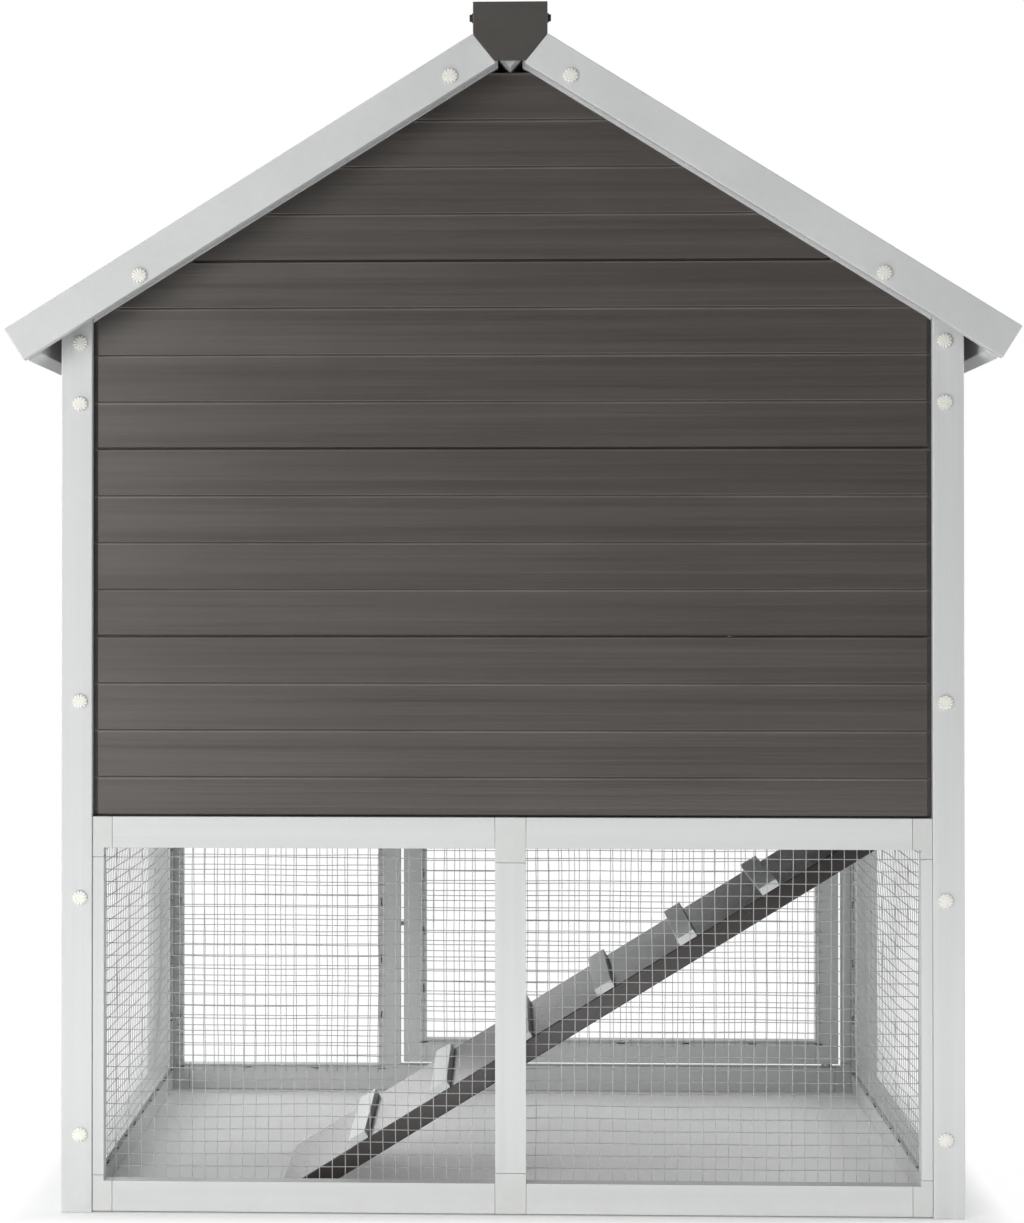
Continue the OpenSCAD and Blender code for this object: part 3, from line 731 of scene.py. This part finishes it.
def cap_bolt():
    """A round flange with a smaller domed head on it."""
    bolt = turned_disc(32, BOLT_FLANGE_RADIUS, BOLT_FLANGE_THICK)
    pick(bolt, "FACE", faces_up)
    bpy.ops.mesh.inset(thickness=0.0011)
    raise_face(BOLT_HEAD_RISE)
    bpy.ops.mesh.inset(thickness=0.0008)
    slide((0, 0, BOLT_DOME_RISE))
    bpy.ops.mesh.inset(thickness=0.0012)
    slide((0, 0, -BOLT_RECESS))
    close_mesh()
    soften(bolt, width=0.0002)
    smooth(bolt, turn=35)
    return bolt


for node in ("post_screw_caps", "barge_screw_caps"):
    show(copies(daisy_cap(), seats(node), node + "_moulded"), cap_white, "coop", "caps",
         node)
show(copies(cap_bolt(), seats("ridge_screws"), "ridge_screws_shaped"), coated, "coop",
     "black_steel", "ridge_screws")


# ---- door and ramp ironwork ----

IRON_EDGE = 0.0003
PLATE_THICK = 0.0016
SCREW_IN = 0.0032           # from a plate's edge to its screws' middles
PAST_GUIDE = 0.0175         # from a bolt plate's end to the screws beyond its guide
SCREW_RADIUS, SCREW_HIGH = 0.0022, 0.0009
HINGE_THICK, HINGE_SCREW_IN, HINGE_SCREW_OFF = 0.0014, 0.005, 0.013


def with_screws(node, places, radius=SCREW_RADIUS):
    piece = traced(node, node + "_bare")
    soften(piece, IRON_EDGE)
    smooth(piece)
    heads = copies(screw_head(radius, SCREW_HIGH), places, "heads")
    whole = join([piece, heads], node + "_shaped")
    return show(whole, coated, body_of[node], slot_of[node], node)


def plate_screws(low, high, across):
    """Places near the lower and the upper edge of an upright plate."""
    return [turned_to(1, 1, Vector((x, low.y + PLATE_THICK, z))) for x in across
            for z in (low.z + SCREW_IN, high.z - SCREW_IN)]


for door in ("run", "house"):
    low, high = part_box(door + "_bolt_plate")
    with_screws(door + "_bolt_plate", plate_screws(
        low, high, (low.x + PAST_GUIDE, high.x - SCREW_IN)))
    shaped(door + "_bolt", zinc_steel, 0.0005)
keeper_screws = []
for low, high in solids_of("bolt_keepers"):
    keeper_screws += plate_screws(low, high, (low.x + SCREW_IN,))
with_screws("bolt_keepers", keeper_screws)

hinge_screws = []
for low, high in solids_of("ramp_hinge_base"):
    middle = (low.y + high.y) / 2
    for off in (-HINGE_SCREW_OFF, HINGE_SCREW_OFF):
        hinge_screws.append(Matrix.Translation(
            (high.x - HINGE_SCREW_IN, middle + off, low.z + HINGE_THICK)))
shaped("ramp_hinge_leaves", coated, 0.00015, steps=1)
with_screws("ramp_hinge_base", hinge_screws, radius=0.002)


# ---- wire mesh ----

WIRE_R = 0.00043
WIRE_SIDES = 6
PITCH_ACROSS, PITCH_UP = 0.0127, 0.01233
WIRE_END = 0.004            # room kept at a panel's edges, both together
UPRIGHTS_AT, LEVELS_AT = 0.0005, 0.0014     # in from the panel's outer face
SLACK = 0.011               # bow of the side panels
TAUT = 0.002                # bow of the panels at the back and the front
BOW_STEEP, BOW_HELD = 1.6, 0.25     # how fast it grows, and how much the frame holds


def rod(start, end, rings):
    """One straight wire from start to end, with rings along it."""
    start, end = Vector(start), Vector(end)
    run = end - start
    bpy.ops.mesh.primitive_cylinder_add(
        vertices=WIRE_SIDES, radius=WIRE_R, depth=run.length, location=(start + end) / 2,
        rotation=run.to_track_quat("Z", "Y").to_euler())
    wire = bpy.context.object
    settle(wire)
    pick(wire, "EDGE", lambda a, b: (a - b).length > run.length * 0.9)
    bpy.ops.mesh.subdivide(number_cuts=rings)
    close_mesh()
    return wire


def rows(wire, step, count):
    """The wire repeated count times, a step apart."""
    hold(wire)
    many = wire.modifiers.new("rows", "ARRAY")
    many.use_relative_offset = False
    many.use_constant_offset = True
    many.constant_offset_displace = step
    many.count = count
    bpy.ops.object.modifier_apply(modifier="rows")
    return wire


def clouds(name, size, depth):
    cloud = bpy.data.textures.new(name, "CLOUDS")
    cloud.noise_scale = size
    cloud.noise_depth = depth
    return cloud


def sway(piece, axis, amount, size, seed_place):
    """Pushes the wires a little sideways along one axis, as handling does."""
    cloud = clouds(f"sway_{axis}_{piece.name}", size, depth=2)
    guide = bpy.data.objects.new("guide", None)
    scene.collection.objects.link(guide)
    guide.location = seed_place
    bpy.context.view_layer.update()
    hold(piece)
    push = piece.modifiers.new("sway", "DISPLACE")
    push.texture = cloud
    push.texture_coords = "OBJECT"
    push.texture_coords_object = guide
    push.direction = axis
    push.strength = amount
    push.mid_level = 0.5
    bpy.ops.object.modifier_apply(modifier="sway")
    bpy.data.objects.remove(guide)


def inward_bow(piece, low, high, flat, inward, amount):
    """Bows a panel inwards with dents, most in its middle and none near its frame."""
    spread = [i for i in range(3) if i != flat]
    group = piece.vertex_groups.new(name="middle")
    for v in piece.data.vertices:
        share = 1.0
        for i in spread:
            t = (v.co[i] - low[i]) / (high[i] - low[i])
            rise = math.sin(math.pi * min(max(t, 0), 1)) * BOW_STEEP - BOW_HELD
            share *= max(0.0, min(1.0, rise))
        group.add([v.index], share, "REPLACE")
    hold(piece)
    push = piece.modifiers.new("bow", "DISPLACE")
    push.texture = clouds("dents_" + piece.name, size=0.24, depth=0)
    push.texture_coords = "LOCAL"
    push.direction = "XYZ"[flat]
    push.vertex_group = "middle"
    push.strength = amount * inward
    push.mid_level = 0.0
    bpy.ops.object.modifier_apply(modifier="bow")
    piece.vertex_groups.clear()


def wire_panel(node, flat, inward, bow):
    """Welded wire mesh: upright wires against the frame and level wires inside them."""
    low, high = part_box(node)
    wide = 1 - flat
    outer = low[flat] if inward > 0 else high[flat]
    near, far = outer + inward * UPRIGHTS_AT, outer + inward * LEVELS_AT
    across = int((high[wide] - low[wide] - WIRE_END) / PITCH_ACROSS)
    up = int((high.z - low.z - WIRE_END) / PITCH_UP)
    first = (low[wide] + high[wide] - across * PITCH_ACROSS) / 2
    base = (low.z + high.z - up * PITCH_UP) / 2

    def at(flat_at, wide_at, z):
        place = Vector((0, 0, z))
        place[flat], place[wide] = flat_at, wide_at
        return place
    upright = rod(at(near, first, low.z), at(near, first, high.z), up)
    level = rod(at(far, low[wide], base), at(far, high[wide], base), across)
    rows(upright, at(0, PITCH_ACROSS, 0), across + 1)
    rows(level, (0, 0, PITCH_UP), up + 1)
    panel = join([upright, level], node + "_wires")
    seed = at(0.31 + 0.2 * flat, 0.13, 0.71)
    sway(panel, "XYZ"[wide], amount=0.0032, size=0.11, seed_place=seed)
    sway(panel, "Z", amount=0.0026, size=0.13, seed_place=seed * 2)
    inward_bow(panel, low, high, flat, inward, bow)
    smooth(panel, turn=70)
    return show(panel, wire_zinc, body_of[node], slot_of[node], node)


wire_panel("back_run_mesh", 1, 1, TAUT)
wire_panel("left_run_mesh", 0, 1, SLACK)
wire_panel("right_run_mesh", 0, -1, SLACK)
wire_panel("front_run_mesh", 1, -1, TAUT)
wire_panel("run_door_mesh", 1, -1, TAUT)


# ---- staples ----

STAPLE = (0.0098, 0.0012, 0.0007)   # length, width and thickness of the crown
STAPLE_HIGH, STAPLE_LEG = 0.0021, 0.0019
LEG_FROM = 0.0038
STAPLE_STEP, STAPLE_IN = 0.076, 0.0045
STAPLE_TILT = 9                     # degrees


def staple():
    """A wire staple: a flat crown with its legs going into the wood."""
    bpy.ops.mesh.primitive_cube_add(size=1, location=(0, 0, STAPLE_HIGH))
    one = bpy.context.object
    one.scale = STAPLE
    settle(one)
    open_mesh(one)
    for x in (-LEG_FROM, LEG_FROM):
        cut((x, 0, 0), (1, 0, 0))
    close_mesh()
    pick(one, "FACE", lambda c, n: n.z < -0.9 and abs(c.x) > LEG_FROM)
    raise_face(-STAPLE_LEG)
    close_mesh()
    soften(one, width=0.0002, steps=1)
    smooth(one)
    return one


def staple_places(node, flat, inward):
    """Round the edge of a wire panel, each turned a little off square."""
    low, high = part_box(node)
    wide = 1 - flat
    outer = low[flat] if inward > 0 else high[flat]
    stand = turned_to(flat, inward, Vector((0, 0, 0)))
    places = []

    def put(wide_at, z, upright):
        spot = Vector((0, 0, z))
        spot[flat], spot[wide] = outer, wide_at
        off_square = STAPLE_TILT * math.sin((len(places) + 1) * 2.3)
        tilt = math.radians(off_square + (90 if upright else 0))
        places.append(Matrix.Translation(spot) @ stand @ Matrix.Rotation(tilt, 4, "Z"))
    wide_count = max(2, round((high[wide] - low[wide]) / STAPLE_STEP))
    up_count = max(2, round((high.z - low.z) / STAPLE_STEP))
    between = high[wide] - low[wide] - 2 * STAPLE_IN
    for i in range(wide_count + 1):
        for z in (low.z + STAPLE_IN, high.z - STAPLE_IN):
            put(low[wide] + STAPLE_IN + between * i / wide_count, z, flat == 0)
    for i in range(1, up_count):
        for at in (low[wide] + STAPLE_IN, high[wide] - STAPLE_IN):
            put(at, low.z + (high.z - low.z) * i / up_count, flat == 1)
    return places


fixed = []
for node, flat, inward in (("back_run_mesh", 1, 1), ("left_run_mesh", 0, 1),
                           ("right_run_mesh", 0, -1), ("front_run_mesh", 1, -1)):
    fixed += staple_places(node, flat, inward)
show(copies(staple(), fixed, "run_staples"), coated, "coop", "black_steel")
show(copies(staple(), staple_places("run_door_mesh", 1, -1), "run_door_staples"), coated,
     "run_door", "black_steel")


# ---- floor ----

FOOT_HALF = {"X": 0.445, "Y": 0.380}    # half the footprint
FADE = 0.05                             # from its edge to the plain pale floor
GLOW_NEAR, GLOW_FAR = (0.08, 0.08, 0.08), (0.98, 0.98, 0.98)


def ground_finish():
    """Pale and matt under the coop, and an even white seen from the camera beyond it."""
    material, tree, shader = begin("pale_ground", 0.9, specular=0.1)
    place = on_object(tree)
    pale_grey = blend_colours(tree, noise(tree, place, 3.0),
                              (0.88, 0.88, 0.885), (0.93, 0.93, 0.935))
    split = add(tree, "SeparateXYZ")
    tree.links.new(place, split.inputs[0])
    beyond = [maths(tree, "SUBTRACT", maths(tree, "ABSOLUTE", split.outputs[label], 0.0),
                    half) for label, half in FOOT_HALF.items()]
    far_off = stretch(tree, maths(tree, "MAXIMUM", *beyond), 0.0, FADE)
    far_off = maths(tree, "MULTIPLY", far_off,
                    add(tree, "LightPath").outputs["Is Camera Ray"])
    tree.links.new(blend_colours(tree, far_off, pale_grey, (0.0, 0.0, 0.0)),
                   shader.inputs["Base Color"])
    tree.links.new(blend_colours(tree, far_off, GLOW_NEAR, GLOW_FAR),
                   shader.inputs["Emission Color"])
    shader.inputs["Emission Strength"].default_value = 1.0
    return material


bpy.ops.mesh.primitive_plane_add(size=60, location=(0, 0, 0))
ground = bpy.context.object
ground.name = "ground"
ground.data.materials.append(ground_finish())
ground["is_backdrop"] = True


# ---- light ----

SKY_COLOUR = (0.975, 0.99, 1.0, 1)
SKY_BEHIND_CAMERA, SKY_BEYOND_COOP = 0.155, 0.70
SKY_EVEN_FROM = 0.7

studio = bpy.data.worlds.new("studio")
scene.world = studio
studio.use_nodes = True
sky = studio.node_tree
plain = sky.nodes["Background"]
plain.inputs["Color"].default_value = SKY_COLOUR
toward = add(sky, "SeparateXYZ")
sky.links.new(add(sky, "TexCoord").outputs["Generated"], toward.inputs[0])
sky.links.new(stretch(sky, toward.outputs["Y"], -SKY_EVEN_FROM, SKY_EVEN_FROM,
                      SKY_BEHIND_CAMERA, SKY_BEYOND_COOP), plain.inputs["Strength"])
white = add(sky, "Background")
white.inputs["Color"].default_value = (1, 1, 1, 1)
white.inputs["Strength"].default_value = 1.0
mixed = add(sky, "MixShader")
sky.links.new(add(sky, "LightPath").outputs["Is Camera Ray"], mixed.inputs[0])
sky.links.new(plain.outputs[0], mixed.inputs[1])
sky.links.new(white.outputs[0], mixed.inputs[2])
sky.links.new(mixed.outputs[0], sky.nodes["World Output"].inputs[0])


def lamp(name, watts, place, aim, size, colour=(1, 1, 1)):
    light = bpy.data.lights.new(name, "AREA")
    light.shape = "RECTANGLE"
    light.size, light.size_y = size
    light.energy = watts
    light.color = colour
    body = bpy.data.objects.new(name, light)
    scene.collection.objects.link(body)
    body.visible_camera = False
    body.location = place
    body.rotation_euler = (Vector(aim) - Vector(place)).to_track_quat("-Z", "Y").to_euler()


lamp("key", 48.5, (-1.9, -2.75, 1.15), (0.0, -0.3, 0.5), (1.5, 1.9), (1.0, 0.995, 0.985))
lamp("front_low", 2.4, (0.1, -0.95, 0.06), (0.1, -0.38, 0.04), (1.9, 0.2))
lamp("back_left", 36.0, (-1.6, 3.0, 1.4), (0.0, 0.3, 0.3), (2.2, 2.2))
lamp("side_left", 31.0, (-3.0, 0.1, 0.9), (0.0, 0.0, 0.3), (2.0, 1.6))
lamp("side_right", 40.0, (3.0, 0.1, 0.9), (0.0, 0.0, 0.3), (2.0, 1.6))

low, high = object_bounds()
